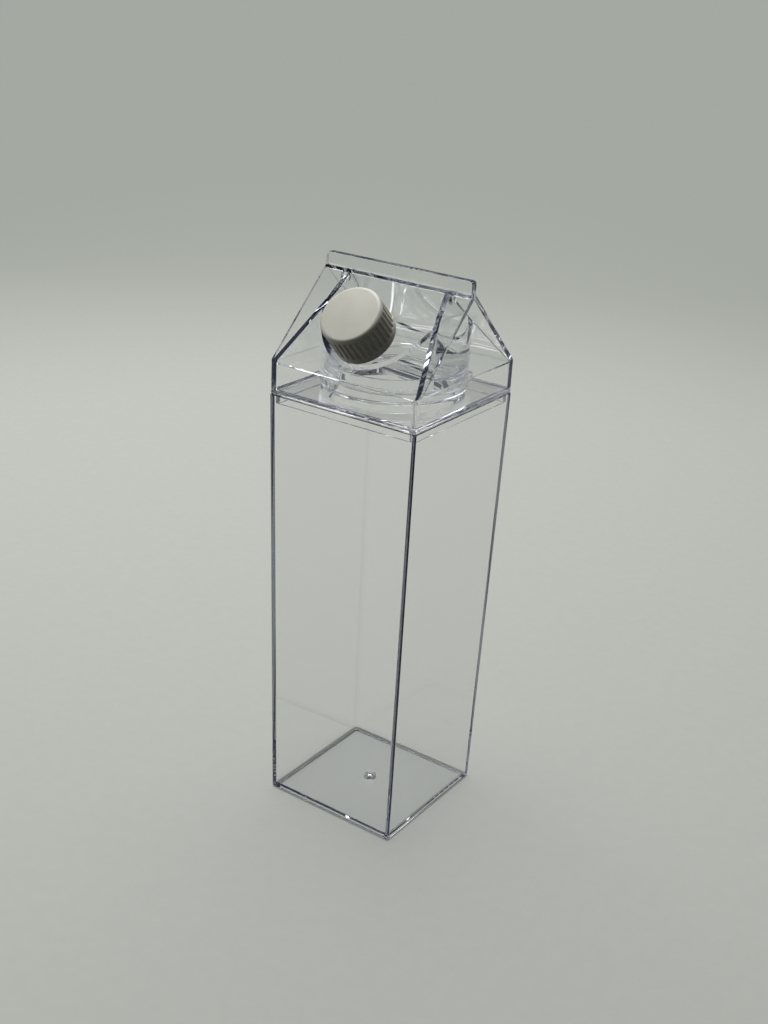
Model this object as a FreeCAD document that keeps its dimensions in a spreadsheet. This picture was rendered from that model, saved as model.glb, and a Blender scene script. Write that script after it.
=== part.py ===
"""Clear square bottle with a gable head, in the form of a milk carton.

Four moulded pieces, each a node of its own:

body   tapered square tube with a floor that stands on a narrow rim
neck   square plate closing the body's mouth, with a wide round neck
head   gable head: skirt, two roof panels, a pocket in each gable, a fin
       along the ridge, a round collar that fits over the neck, a spout
cap    ribbed screw cap over the spout

Frame: millimetres, +Z up, origin on the ground at the middle of the foot.
X runs along the ridge, and the spout is on the roof panel that faces -Y.
"""

import FreeCAD, Part
import os

import Sketcher

V = FreeCAD.Vector

SIZES = [
    ("BodyHeight", 171.5, "ground to the body's rim"),
    ("BodyTopWidth", 65.0, "outside width at the rim"),
    ("BodyFootWidth", 59.4, "outside width at the ground"),
    ("BodyWall", 1.8, "side walls"),
    ("FloorThickness", 2.2, "ground to the inside floor"),
    ("CornerRadius", 1.1, "upright outside corners of the square pieces"),
    ("FootEdgeRadius", 0.9, "outside edge at the ground"),
    ("InsideRadius", 0.8, "inside corners and the edge of the floor"),
    ("FootRim", 2.9, "width of the rim that the body stands on"),
    ("FootRecess", 0.7, "depth of the underside within that rim"),
    ("RecessCorner", 2.5, "corners of the recessed underside"),
    ("GateRadius", 1.7, "round mould mark in the underside"),
    ("GateDepth", 0.6, "depth of that mark"),
    ("RimGap", 0.1, "seam between the rim and the neck's plate"),
    ("PlateInset", 0.2, "plate and head stand inside the rim's edge"),
    ("PlateThickness", 1.9, "square plate"),
    ("LipDepth", 3.3, "plate's lip below the rim"),
    ("LipThickness", 1.5, "plate's lip"),
    ("LipClearance", 0.15, "plate's lip to the body's wall"),
    ("NeckRadius", 24.4, "round neck, outside, without its thread"),
    ("NeckWall", 1.8, "round neck"),
    ("NeckHeight", 10.5, "neck above its plate"),
    ("NeckEdgeRadius", 0.5, "outside edge of the neck's mouth"),
    ("RingStep", 1.9, "ring round the foot of the neck, out from the neck"),
    ("RingHeight", 2.4, "that ring above the plate"),
    ("RingGap", 1.0, "collar above that ring"),
    ("HeadGap", 0.2, "skirt above the plate"),
    ("SkirtHeight", 10.3, "upright part of the head"),
    ("RoofRise", 30.3, "eaves to the foot of the fin"),
    ("HeadWall", 1.8, "skirt, roof panels and gable walls"),
    ("FinHeight", 5.5, "fin above the roof"),
    ("FinThickness", 3.0, "fin along the ridge"),
    ("FinInset", 0.4, "fin's ends inside the gable ends"),
    ("FinEndRadius", 1.2, "top corners of the fin's ends"),
    ("FinEdgeRadius", 0.5, "edges round the fin's faces"),
    ("PocketDepth", 7.8, "gable pocket at its deepest"),
    ("PocketRise", 21.0, "height of the pocket's sloping wall"),
    ("ThreadSpace", 1.0, "between neck and collar"),
    ("CollarWall", 1.6, "round collar"),
    ("LugAngle", 45.0, "collar's stop lug, round from +X"),
    ("LugWidth", 2.6, "stop lug, round the collar"),
    ("LugDepth", 2.0, "stop lug, out from the collar"),
    ("LugHeight", 2.7, "stop lug, up from the collar's foot"),
    ("SpoutPlace", 18.9, "eaves to the spout's axis, up the roof"),
    ("SpoutWall", 1.4, "spout"),
    ("SpoutEdgeRadius", 0.4, "outside edge of the spout's mouth"),
    ("CapGap", 0.6, "cap above the roof"),
    ("CapSeat", 0.2, "spout's mouth to the inside of the cap's top"),
    ("CapThreadSpace", 0.75, "between the spout and the cap's skirt at its top"),
    ("CapRadius", 12.0, "cap's outside at its foot"),
    ("CapTaper", 0.35, "radius that the cap loses to its top"),
    ("CapHeight", 13.7, "cap"),
    ("CapWall", 1.3, "cap's skirt"),
    ("CapTop", 1.5, "cap's top"),
    ("CapEdgeRadius", 1.3, "round edge of the cap's top"),
    ("RibCount", 34, "grip ribs round the cap"),
    ("RibGroove", 0.55, "radius of the groove between two ribs"),
    ("RibBand", 2.7, "plain band at the cap's foot"),
    ("RibEnd", 1.6, "ribs end this far below the cap's top"),
    ("Past", 1.0, "how far a cut runs past what it cuts"),
]

# Places and lengths that follow from the sizes, as expressions on the sheet.
BODY_TAPER = "((Sizes.BodyTopWidth - Sizes.BodyFootWidth) / Sizes.BodyHeight)"
PLATE_FOOT = "(Sizes.BodyHeight + Sizes.RimGap)"
PLATE_TOP = f"({PLATE_FOOT} + Sizes.PlateThickness)"
PLATE_WIDTH = "(Sizes.BodyTopWidth - 2 * Sizes.PlateInset)"
NECK_TOP = f"({PLATE_TOP} + Sizes.NeckHeight)"
RING_RADIUS = "(Sizes.NeckRadius + Sizes.RingStep)"

HEAD_FOOT = f"({PLATE_TOP} + Sizes.HeadGap)"
EAVES = f"({HEAD_FOOT} + Sizes.SkirtHeight)"
RIDGE = f"({EAVES} + Sizes.RoofRise)"
FIN_TOP = f"({RIDGE} + Sizes.FinHeight)"
HALF_HEAD = f"({PLATE_WIDTH} / 2)"
HALF_FIN = "(Sizes.FinThickness / 2)"
ROOF_ANGLE = f"atan2(Sizes.RoofRise; {HALF_HEAD} - {HALF_FIN})"

# Under the roof panels: half the room's width, its height at the eaves and
# at the ridge.
HALF_ROOM = f"({HALF_HEAD} - Sizes.HeadWall)"
ROOF_DROP = f"(Sizes.HeadWall / cos({ROOF_ANGLE}))"
ROOM_EAVES = f"({EAVES} + Sizes.HeadWall * tan({ROOF_ANGLE}) - {ROOF_DROP})"
ROOM_RIDGE = f"({EAVES} + {HALF_HEAD} * tan({ROOF_ANGLE}) - {ROOF_DROP})"

# Each gable wall slopes inwards from the eaves and then stands upright. Its
# inside follows one wall's thickness further in.
GABLE_SLOPE = "(Sizes.PocketRise / Sizes.PocketDepth)"
GABLE_SHIFT = "(Sizes.HeadWall / sin(atan2(Sizes.PocketRise; Sizes.PocketDepth)))"
POCKET_END = f"({HALF_HEAD} - Sizes.PocketDepth)"
POCKET_BEND = f"({EAVES} + Sizes.PocketRise)"
INNER_END = f"({POCKET_END} - Sizes.HeadWall)"
INNER_START = f"({EAVES} - ({GABLE_SHIFT} - Sizes.HeadWall) * {GABLE_SLOPE})"
INNER_BEND = f"({INNER_START} + ({HALF_ROOM} - {INNER_END}) * {GABLE_SLOPE})"

COLLAR_BORE = "(Sizes.NeckRadius + Sizes.ThreadSpace)"
COLLAR_RADIUS = f"({COLLAR_BORE} + Sizes.CollarWall)"
COLLAR_FOOT = f"({PLATE_TOP} + Sizes.RingHeight + Sizes.RingGap)"
SPOUT_Y = f"(Sizes.SpoutPlace * cos({ROOF_ANGLE}) - {HALF_HEAD})"
SPOUT_Z = f"({EAVES} + Sizes.SpoutPlace * sin({ROOF_ANGLE}))"
CAP_TOP_RADIUS = "(Sizes.CapRadius - Sizes.CapTaper)"
SPOUT_RADIUS = f"({CAP_TOP_RADIUS} - Sizes.CapWall - Sizes.CapThreadSpace)"
SPOUT_BORE = f"({SPOUT_RADIUS} - Sizes.SpoutWall)"
SPOUT_HEIGHT = "(Sizes.CapGap + Sizes.CapHeight - Sizes.CapTop - Sizes.CapSeat)"

FACING_X = FreeCAD.Rotation(V(1, 1, 1), 120)
FACING_Y = FreeCAD.Rotation(V(1, 0, 0), 90)
FACING_Z = FreeCAD.Rotation()

doc = FreeCAD.newDocument("GableBottle")
sheet = doc.addObject("Spreadsheet::Sheet", "Sizes")


def fill_sheet():
    """Write each size to its own cell, between its name and its meaning."""
    for row, (alias, number, meaning) in enumerate(SIZES, start=1):
        sheet.set(f"A{row}", alias)
        sheet.set(f"B{row}", f"{number:g}")
        sheet.set(f"C{row}", meaning)
        sheet.setAlias(f"B{row}", alias)
    doc.recompute()


def value(expression):
    """The number that an expression on the sheet gives."""
    result = sheet.evalExpression(expression)
    return float(getattr(result, "Value", result))


def bind(item, **expressions):
    """Bind an object's properties to expressions; __ stands for a dot."""
    for name, expression in expressions.items():
        item.setExpression(name.replace("__", "."), expression)


# Sketches

def origin_plane(body, role):
    return next(item for item in body.Origin.OriginFeatures if item.Role == role)


def body_sketch(body, name, role="XY_Plane", height="0"):
    """A sketch on one of a body's own planes, raised along its normal."""
    sketch = body.newObject("Sketcher::SketchObject", name)
    sketch.AttachmentSupport = [(origin_plane(body, role), "")]
    sketch.MapMode = "FlatFace"
    bind(sketch, AttachmentOffset__Base__z=height)
    return sketch


def free_sketch(name, facing):
    """A sketch outside the bodies, turned to face along an axis."""
    sketch = doc.addObject("Sketcher::SketchObject", name)
    sketch.Placement = FreeCAD.Placement(V(0, 0, 0), facing)
    return sketch


def constrain(sketch, kind, places, number, expression):
    """A dimension whose value is an expression."""
    index = sketch.addConstraint(Sketcher.Constraint(kind, *places, number))
    bind(sketch, **{f"Constraints[{index}]": expression})


def add_outline(sketch, corners):
    """A closed outline of straight lines whose corners are expressions."""
    places = [V(value(x), value(y), 0) for x, y in corners]
    first = sketch.GeometryCount
    last = first + len(corners) - 1
    for start, end in zip(places, places[1:] + places[:1]):
        sketch.addGeometry(Part.LineSegment(start, end), False)
    for line in range(first, last + 1):
        following = line + 1 if line < last else first
        sketch.addConstraint(Sketcher.Constraint("Coincident", line, 2, following, 1))
    for line, place, (x, y) in zip(range(first, last + 1), places, corners):
        constrain(sketch, "DistanceX", (-1, 1, line, 1), place.x, x)
        constrain(sketch, "DistanceY", (-1, 1, line, 1), place.y, y)


def add_rectangle(sketch, left, right, low, high):
    add_outline(sketch, [(left, low), (right, low), (right, high), (left, high)])


def add_square(sketch, width):
    """A square of the given width about the sketch's origin."""
    half = f"({width}) / 2"
    add_rectangle(sketch, f"-{half}", half, f"-{half}", half)


def add_circle(sketch, radius, centre="0"):
    """A circle whose centre lies on the sketch's horizontal axis."""
    circle = Part.Circle(V(value(centre), 0, 0), V(0, 0, 1), value(radius))
    index = sketch.addGeometry(circle, False)
    sketch.addConstraint(Sketcher.Constraint("PointOnObject", index, 3, -1))
    constrain(sketch, "DistanceX", (-1, 1, index, 3), value(centre), centre)
    constrain(sketch, "Radius", (index,), value(radius), radius)


# Features of a body

def new_body(label):
    body = doc.addObject("PartDesign::Body", f"{label.capitalize()}Body")
    body.Label = label
    return body


def add_feature(body, kind, name, sketch, **expressions):
    """A feature made from a sketch, with its sizes bound."""
    feature = body.newObject(f"PartDesign::{kind}", name)
    feature.Profile = (sketch, [""])
    bind(feature, **expressions)
    return feature


def add_wedge(body, kind, name, low, high, low_width, high_width):
    """A square block whose width changes from its foot to its top."""
    wedge = body.newObject(f"PartDesign::{kind}", name)
    wedge.AttachmentSupport = [(origin_plane(body, "XZ_Plane"), "")]
    wedge.MapMode = "FlatFace"
    bind(wedge, Ymin=low, Ymax=high,
         Xmin=f"-({low_width}) / 2", Xmax=f"({low_width}) / 2",
         Zmin=f"-({low_width}) / 2", Zmax=f"({low_width}) / 2",
         X2min=f"-({high_width}) / 2", X2max=f"({high_width}) / 2",
         Z2min=f"-({high_width}) / 2", Z2max=f"({high_width}) / 2")


def add_turned(body, name, sketch):
    """A full turn of a sketch about its vertical axis."""
    turned = add_feature(body, "Revolution", name, sketch)
    turned.ReferenceAxis = (sketch, ["V_Axis"])
    turned.Angle = 360
    return turned


def add_fillet(body, name, radius, chosen):
    """Round those edges of the body's last feature that the test chooses."""
    doc.recompute()
    last = body.Tip
    names = [f"Edge{number}" for number, edge in enumerate(last.Shape.Edges, start=1)
             if chosen(edge)]
    if not names:
        raise ValueError(f"{name} rounds no edge")
    fillet = body.newObject("PartDesign::Fillet", name)
    fillet.Base = (last, names)
    bind(fillet, Radius=radius)
    doc.recompute()


def centre(edge):
    return edge.valueAt((edge.FirstParameter + edge.LastParameter) / 2)


def upright(edge):
    """Whether an edge is straight and climbs steeply."""
    way = edge.lastVertex().Point.sub(edge.firstVertex().Point)
    return abs(way.z) > 0.95 * edge.Length


def level_at(height):
    """A test for edges that lie at one height."""
    return lambda edge: all(abs(corner.Z - height) < 0.01 for corner in edge.Vertexes)


# Sub-parts

def make_body():
    """A block that widens upwards, hollowed by a second one."""
    body = new_body("body")
    add_wedge(body, "AdditiveWedge", "Tube", "0", "Sizes.BodyHeight",
              "Sizes.BodyFootWidth", "Sizes.BodyTopWidth")
    add_fillet(body, "TubeCorners", "Sizes.CornerRadius", upright)
    add_fillet(body, "FootEdge", "Sizes.FootEdgeRadius", level_at(0))

    add_wedge(body, "SubtractiveWedge", "Room", "Sizes.FloorThickness", "Sizes.BodyHeight",
              f"Sizes.BodyFootWidth + {BODY_TAPER} * Sizes.FloorThickness - 2 * Sizes.BodyWall",
              "Sizes.BodyTopWidth - 2 * Sizes.BodyWall")
    at_floor = level_at(value("Sizes.FloorThickness"))
    inside = value("(Sizes.BodyFootWidth + Sizes.BodyTopWidth) / 4 - Sizes.BodyWall / 2")
    add_fillet(body, "InsideEdges", "Sizes.InsideRadius",
               lambda edge: at_floor(edge) or upright(edge)
               and max(abs(centre(edge).x), abs(centre(edge).y)) < inside)

    under = body_sketch(body, "UndersideOutline")
    add_square(under, "Sizes.BodyFootWidth - 2 * Sizes.FootRim")
    recess = add_feature(body, "Pocket", "Underside", under, Length="Sizes.FootRecess")
    recess.Reversed = True
    deepest = value("Sizes.FootRecess")
    add_fillet(body, "RecessCorners", "Sizes.RecessCorner",
               lambda edge: upright(edge) and centre(edge).z < deepest)

    gate = body_sketch(body, "GateOutline", role="XZ_Plane")
    low, high = "Sizes.FootRecess", "Sizes.FootRecess + Sizes.GateDepth"
    add_outline(gate, [("0", low), ("Sizes.GateRadius", low),
                       ("Sizes.GateRadius - Sizes.GateDepth", high), ("0", high)])
    mark = add_feature(body, "Groove", "GateMark", gate)
    mark.ReferenceAxis = (gate, ["V_Axis"])
    mark.Angle = 360
    return body


def make_neck():
    """A square plate with a lip inside the body and a round neck on top."""
    body = new_body("neck")
    outline = body_sketch(body, "PlateOutline", height=PLATE_FOOT)
    add_square(outline, PLATE_WIDTH)
    add_feature(body, "Pad", "Plate", outline, Length="Sizes.PlateThickness")
    add_fillet(body, "PlateCorners", "Sizes.CornerRadius", upright)

    width = (f"Sizes.BodyTopWidth - {BODY_TAPER} * Sizes.LipDepth"
             " - 2 * Sizes.BodyWall - 2 * Sizes.LipClearance")
    outline = body_sketch(body, "LipOutline", height=PLATE_FOOT)
    add_square(outline, width)
    add_square(outline, f"{width} - 2 * Sizes.LipThickness")
    lip = add_feature(body, "Pad", "Lip", outline, Length="Sizes.LipDepth + Sizes.RimGap")
    lip.Reversed = True
    plate_foot = value(PLATE_FOOT)
    add_fillet(body, "LipCorners", "Sizes.InsideRadius",
               lambda edge: upright(edge) and centre(edge).z < plate_foot)

    for name, radius, height in (("Ring", RING_RADIUS, "Sizes.RingHeight"),
                                 ("Neck", "Sizes.NeckRadius", "Sizes.NeckHeight")):
        outline = body_sketch(body, f"{name}Outline", height=PLATE_TOP)
        add_circle(outline, radius)
        add_feature(body, "Pad", name, outline, Length=height)
    add_fillet(body, "NeckEdge", "Sizes.NeckEdgeRadius", level_at(value(NECK_TOP)))
    outline = body_sketch(body, "NeckBoreOutline", height=NECK_TOP)
    add_circle(outline, "Sizes.NeckRadius - Sizes.NeckWall")
    add_feature(body, "Pocket", "NeckBore", outline,
                Length="Sizes.NeckHeight + Sizes.PlateThickness + Sizes.Past")
    return body


def extrude(sketch, length):
    """A solid that reaches half the length to each side of its sketch."""
    solid = doc.addObject("Part::Extrusion", sketch.Name.replace("Outline", "Solid"))
    solid.Base = sketch
    solid.DirMode = "Normal"
    solid.Symmetric = True
    solid.Solid = True
    bind(solid, LengthFwd=length)
    return solid


def combine(kind, name, base, tool):
    """A Part::Common or Part::Cut of two objects."""
    result = doc.addObject(f"Part::{kind}", name)
    result.Base = base
    result.Tool = tool
    return result


def fuse(name, items):
    result = doc.addObject("Part::MultiFuse", name)
    result.Shapes = items
    return result


def cylinder(name, radius, height):
    item = doc.addObject("Part::Cylinder", name)
    bind(item, Radius=radius, Height=height)
    return item


def stand_on_roof(item, height):
    """Turn an object to the spout's axis, at a height above the roof."""
    item.Placement = FreeCAD.Placement(V(0, 0, 0), V(1, 0, 0), value(ROOF_ANGLE))
    bind(item,
         Placement__Rotation__Angle=ROOF_ANGLE,
         Placement__Base__y=f"{SPOUT_Y} - ({height}) * sin({ROOF_ANGLE})",
         Placement__Base__z=f"{SPOUT_Z} + ({height}) * cos({ROOF_ANGLE})")


def make_head_outside():
    """The head as one block: a house profile along X with its fin."""
    body = new_body("head_outside")
    left, right = f"-{HALF_HEAD}", HALF_HEAD
    outline = body_sketch(body, "HouseOutline", role="YZ_Plane")
    add_outline(outline, [(left, HEAD_FOOT), (right, HEAD_FOOT), (right, EAVES),
                          (HALF_FIN, RIDGE), (f"-{HALF_FIN}", RIDGE), (left, EAVES)])
    house = add_feature(body, "Pad", "House", outline, Length=PLATE_WIDTH)
    house.Midplane = True
    add_fillet(body, "SkirtCorners", "Sizes.CornerRadius", upright)

    outline = body_sketch(body, "FinOutline", role="YZ_Plane")
    add_rectangle(outline, f"-{HALF_FIN}", HALF_FIN, RIDGE, FIN_TOP)
    fin = add_feature(body, "Pad", "Fin", outline,
                      Length=f"{PLATE_WIDTH} - 2 * Sizes.FinInset")
    fin.Midplane = True
    at_top = level_at(value(FIN_TOP))
    ends = value(f"{HALF_HEAD} - 2 * Sizes.FinInset")
    add_fillet(body, "FinEnds", "Sizes.FinEndRadius",
               lambda edge: at_top(edge) and abs(centre(edge).x) > ends)
    add_fillet(body, "FinEdges", "Sizes.FinEdgeRadius",
               lambda edge: at_top(edge) and abs(centre(edge).x) < ends)
    return body


def make_room():
    """The space under the roof panels, run out past both gables."""
    outline = free_sketch("RoomOutline", FACING_X)
    left, right, low = f"-{HALF_ROOM}", HALF_ROOM, f"{HEAD_FOOT} - Sizes.Past"
    add_outline(outline, [(left, low), (right, low), (right, ROOM_EAVES),
                          ("0", ROOM_RIDGE), (left, ROOM_EAVES)])
    return extrude(outline, f"{PLATE_WIDTH} + 4 * Sizes.Past")


def make_pocket(name, side):
    """The space outside one gable wall; side is "" for +X and "-" for -X."""
    outline = free_sketch(f"{name}Outline", FACING_Y)
    past, top = f"{side}({HALF_HEAD} + Sizes.Past)", f"{ROOM_RIDGE} + Sizes.Past"
    edge, end = f"{side}{HALF_HEAD}", f"{side}{POCKET_END}"
    add_outline(outline, [(edge, EAVES), (past, EAVES), (past, top), (end, top),
                          (end, POCKET_BEND)])
    return extrude(outline, PLATE_WIDTH)


def make_inside():
    """The space between the two gable walls, over the head's whole width."""
    outline = free_sketch("InsideOutline", FACING_Y)
    low, top = f"{HEAD_FOOT} - Sizes.Past", f"{ROOM_RIDGE} + Sizes.Past"
    right_side = [(HALF_ROOM, low), (HALF_ROOM, INNER_START), (INNER_END, INNER_BEND),
                  (INNER_END, top)]
    left_side = [(f"-{x}", z) for x, z in reversed(right_side)]
    add_outline(outline, right_side + left_side)
    return extrude(outline, PLATE_WIDTH)


def make_collar():
    """The ring that fits over the neck, up to the ridge before it is trimmed."""
    height = f"{RIDGE} - {COLLAR_FOOT}"
    outer = cylinder("CollarOutside", COLLAR_RADIUS, height)
    bind(outer, Placement__Base__z=COLLAR_FOOT)
    bore = cylinder("CollarBore", COLLAR_BORE, f"{height} + 2 * Sizes.Past")
    bind(bore, Placement__Base__z=f"{COLLAR_FOOT} - Sizes.Past")

    outline = free_sketch("LugOutline", FACING_Z)
    bind(outline, Placement__Rotation__Angle="Sizes.LugAngle",
         Placement__Base__z=f"{COLLAR_FOOT} + Sizes.LugHeight / 2")
    add_rectangle(outline, f"{COLLAR_RADIUS} - Sizes.CollarWall / 2",
                  f"{COLLAR_RADIUS} + Sizes.LugDepth",
                  "-Sizes.LugWidth / 2", "Sizes.LugWidth / 2")
    lug = extrude(outline, "Sizes.LugHeight")
    return fuse("Collar", [combine("Cut", "CollarRing", outer, bore), lug])


def make_spout():
    """The spout's tube, from inside the roof panel to its mouth."""
    body = new_body("spout")
    outline = body_sketch(body, "SpoutOutline", role="XZ_Plane")
    sunk = "Sizes.HeadWall / 2"
    add_rectangle(outline, SPOUT_BORE, SPOUT_RADIUS, "0", f"{SPOUT_HEIGHT} + {sunk}")
    add_turned(body, "SpoutTube", outline)
    at_mouth = level_at(value(f"{SPOUT_HEIGHT} + {sunk}"))
    middle = value(f"({SPOUT_BORE} + {SPOUT_RADIUS}) / 2")
    add_fillet(body, "SpoutEdge", "Sizes.SpoutEdgeRadius",
               lambda edge: at_mouth(edge) and edge.Curve.Radius > middle)
    stand_on_roof(body, f"-{sunk}")
    return body


def make_head():
    """The block less its two pockets and its inside, with collar and spout."""
    block = make_head_outside()
    room = make_room()
    pockets = fuse("Pockets", [make_pocket("EastPocket", ""), make_pocket("WestPocket", "-")])
    hollow = combine("Common", "Hollow", room, make_inside())
    hollow_round_collar = combine("Cut", "HollowRoundCollar", hollow, make_collar())
    recesses = combine("Common", "Recesses", room, pockets)
    shell = combine("Cut", "HeadShell", block, fuse("Spaces", [hollow_round_collar, recesses]))

    bore = cylinder("SpoutBore", SPOUT_BORE,
                    f"{SPOUT_HEIGHT} + Sizes.HeadWall + 2 * Sizes.Past")
    stand_on_roof(bore, "-Sizes.HeadWall - Sizes.Past")
    head = combine("Cut", "Head", fuse("ShellAndSpout", [shell, make_spout()]), bore)
    head.Label = "head"
    return head


def make_cap():
    """A turned cup with a ring of grooves that leave the grip ribs."""
    body = new_body("cap")
    outline = body_sketch(body, "CapOutline", role="XZ_Plane")
    under_top = "Sizes.CapHeight - Sizes.CapTop"
    add_outline(outline, [("Sizes.CapRadius - Sizes.CapWall", "0"), ("Sizes.CapRadius", "0"),
                          (CAP_TOP_RADIUS, "Sizes.CapHeight"), ("0", "Sizes.CapHeight"),
                          ("0", under_top), (f"{CAP_TOP_RADIUS} - Sizes.CapWall", under_top)])
    add_turned(body, "Cup", outline)
    add_fillet(body, "CapEdge", "Sizes.CapEdgeRadius", level_at(value("Sizes.CapHeight")))

    outline = body_sketch(body, "GrooveOutline", height="Sizes.RibBand")
    add_circle(outline, "Sizes.RibGroove", centre="Sizes.CapRadius")
    groove = add_feature(body, "Pocket", "RibGrooveCut", outline,
                         Length="Sizes.CapHeight - Sizes.RibBand - Sizes.RibEnd")
    groove.Reversed = True
    doc.recompute()
    ring = body.newObject("PartDesign::PolarPattern", "RibGrooves")
    ring.Originals = [groove]
    ring.Axis = (outline, ["N_Axis"])
    ring.Angle = 360
    bind(ring, Occurrences="Sizes.RibCount")
    body.Tip = ring
    stand_on_roof(body, "Sizes.CapGap")
    return body


def check(parts):
    """Stop if any object failed or any sub-part isn't one valid solid."""
    failed = [item.Name for item in doc.Objects
              if "Invalid" in item.State or "Error" in item.State]
    if failed:
        raise RuntimeError(f"failed objects: {', '.join(failed)}")
    for item in parts:
        shape = item.Shape
        if shape.isNull() or not shape.isValid() or len(shape.Solids) != 1:
            raise RuntimeError(f"{item.Label} isn't one valid solid")


fill_sheet()
parts = [make_body(), make_neck(), make_head(), make_cap()]
doc.recompute()
check(parts)
os.makedirs("parts", exist_ok=True)
for item in parts:
    item.Shape.exportStep(f"parts/{item.Label}.step")
    print(item.Label, "volume", round(item.Shape.Volume), "mm3")
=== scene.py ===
"""Clear gable-head bottle with a ribbed cap, laid out as a Blender add-on.

It builds the finished pieces round the CAD frame: the tapered body, the neck
plate, the gable head and the cap, and then the floor, the lamps and the
camera. Lengths are metres. X runs along the ridge, and the cap faces -Y.
"""

import math

import bmesh
import bpy
from bpy.props import FloatProperty, FloatVectorProperty, IntProperty, PointerProperty
from bpy.types import Operator, Panel, PropertyGroup
from mathutils import Matrix, Vector


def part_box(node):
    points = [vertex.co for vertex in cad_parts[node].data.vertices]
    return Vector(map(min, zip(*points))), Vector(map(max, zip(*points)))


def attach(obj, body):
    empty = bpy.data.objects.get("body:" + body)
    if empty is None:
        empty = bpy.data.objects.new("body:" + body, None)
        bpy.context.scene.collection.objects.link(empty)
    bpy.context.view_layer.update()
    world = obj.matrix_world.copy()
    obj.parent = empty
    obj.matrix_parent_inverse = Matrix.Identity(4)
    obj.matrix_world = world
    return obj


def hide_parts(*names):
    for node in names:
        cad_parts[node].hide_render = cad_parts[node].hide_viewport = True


bl_info = {
    "name": "Gable bottle",
    "version": (1, 0, 0),
    "blender": (4, 5, 0),
    "location": "3D View > Sidebar > Bottle",
    "description": "Builds a clear gable-head bottle with a ribbed screw cap",
    "category": "Object",
}

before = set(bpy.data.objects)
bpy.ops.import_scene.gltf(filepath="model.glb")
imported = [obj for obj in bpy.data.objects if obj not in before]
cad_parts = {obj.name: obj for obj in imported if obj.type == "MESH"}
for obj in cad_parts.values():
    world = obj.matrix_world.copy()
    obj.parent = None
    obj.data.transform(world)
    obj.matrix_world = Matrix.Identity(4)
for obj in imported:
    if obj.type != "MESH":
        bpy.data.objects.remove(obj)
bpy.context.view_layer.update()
BODY_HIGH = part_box("body")[1]
NECK_LOW, NECK_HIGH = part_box("neck")
HEAD_LOW, HEAD_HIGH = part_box("head")

MM = 0.001
X, Y, Z = Vector((1, 0, 0)), Vector((0, 1, 0)), Vector((0, 0, 1))

LARGE_TURN, MIDDLE_TURN, SMALL_TURN = 192, 128, 64  # flat faces round a turned part
CRISP, PLAIN, EASED = 0.12 * MM, 0.3 * MM, 0.4 * MM  # radii of small moulded edges
PAST = MM  # how far a cutter reaches past what it cuts
SUNK = 0.5 * MM  # how far a part reaches into what it joins
HAIR = 0.02 * MM  # keeps two faces from lying in one plane
CLOSE = 1e-6  # places nearer than this are the same
FOOT_SHADE = 0.5 * MM  # height of the body's foot that lets little light through
DIM_PAPER = (0.06, 0.06, 0.054, 1)  # the paper in the light that it sends back
SKY_COLOUR = Vector((0.95, 0.97, 0.95))
CAMERA_AIM = Vector((-0.00532, 0.0066, 0.11956))


# Properties

def length(name, description, millimetres):
    return FloatProperty(name=name, description=description, default=millimetres * MM,
                         unit="LENGTH", precision=5)


def colour(name, description, default):
    return FloatVectorProperty(name=name, description=description, default=default,
                               subtype="COLOR", min=0, max=1)


def amount(name, description, default):
    return FloatProperty(name=name, description=description, default=default)


class BodySizes(PropertyGroup):
    """Tapered square tube"""
    foot_width: length("Foot width", "Outside width at the ground", 59.4)
    wall: length("Wall", "Thickness of the sides", 1.8)
    floor: length("Floor", "Ground to the inside floor", 2.2)
    corner: length("Corners", "Radius of the upright outside corners", 1.1)
    foot_edge: length("Foot edge", "Radius of the outside edge at the ground", 0.9)
    inside: length("Inside corners", "Radius of the inside corners", 0.3)
    rim_edge: length("Rim edges", "Radius of the edges at the open rim", 0.35)
    foot_rim: length("Foot rim", "Width of the rim that the body stands on", 2.9)
    recess: length("Recess", "Depth of the underside within the foot rim", 0.7)
    recess_corner: length("Recess corners", "Radius of the recess's corners", 1.0)
    gate: length("Gate mark", "Radius of the small dome in the floor", 2.6)
    gate_rise: length("Gate rise", "Height of the dome above the floor", 2.6)
    gate_wall: length("Gate wall", "Radius that the dome loses to its hollow underside", 1.1)


class NeckSizes(PropertyGroup):
    """Square plate with its lip and round neck"""
    plate_foot: length("Plate foot", "Height of the plate's underside", 171.6)
    plate_top: length("Plate top", "Height of the plate's upper side", 173.5)
    corner: length("Corners", "Radius of the plate's upright corners", 1.1)
    lip_half: length("Lip", "Half the outside width of the lip", 30.5)
    lip_wall: length("Lip wall", "Thickness of the lip", 1.5)
    radius: length("Neck radius", "Outside of the round neck", 24.4)
    wall: length("Neck wall", "Thickness of the round neck", 1.8)
    ring: length("Ring radius", "Ring round the foot of the neck", 26.3)
    ring_top: length("Ring top", "Height of that ring's upper side", 175.9)
    bead: length("Thread bead", "How far the thread stands out", 0.5)
    pitch: length("Thread pitch", "Rise of the thread in one turn", 4.0)
    turns: amount("Thread turns", "Turns of the thread", 1.25)


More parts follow.
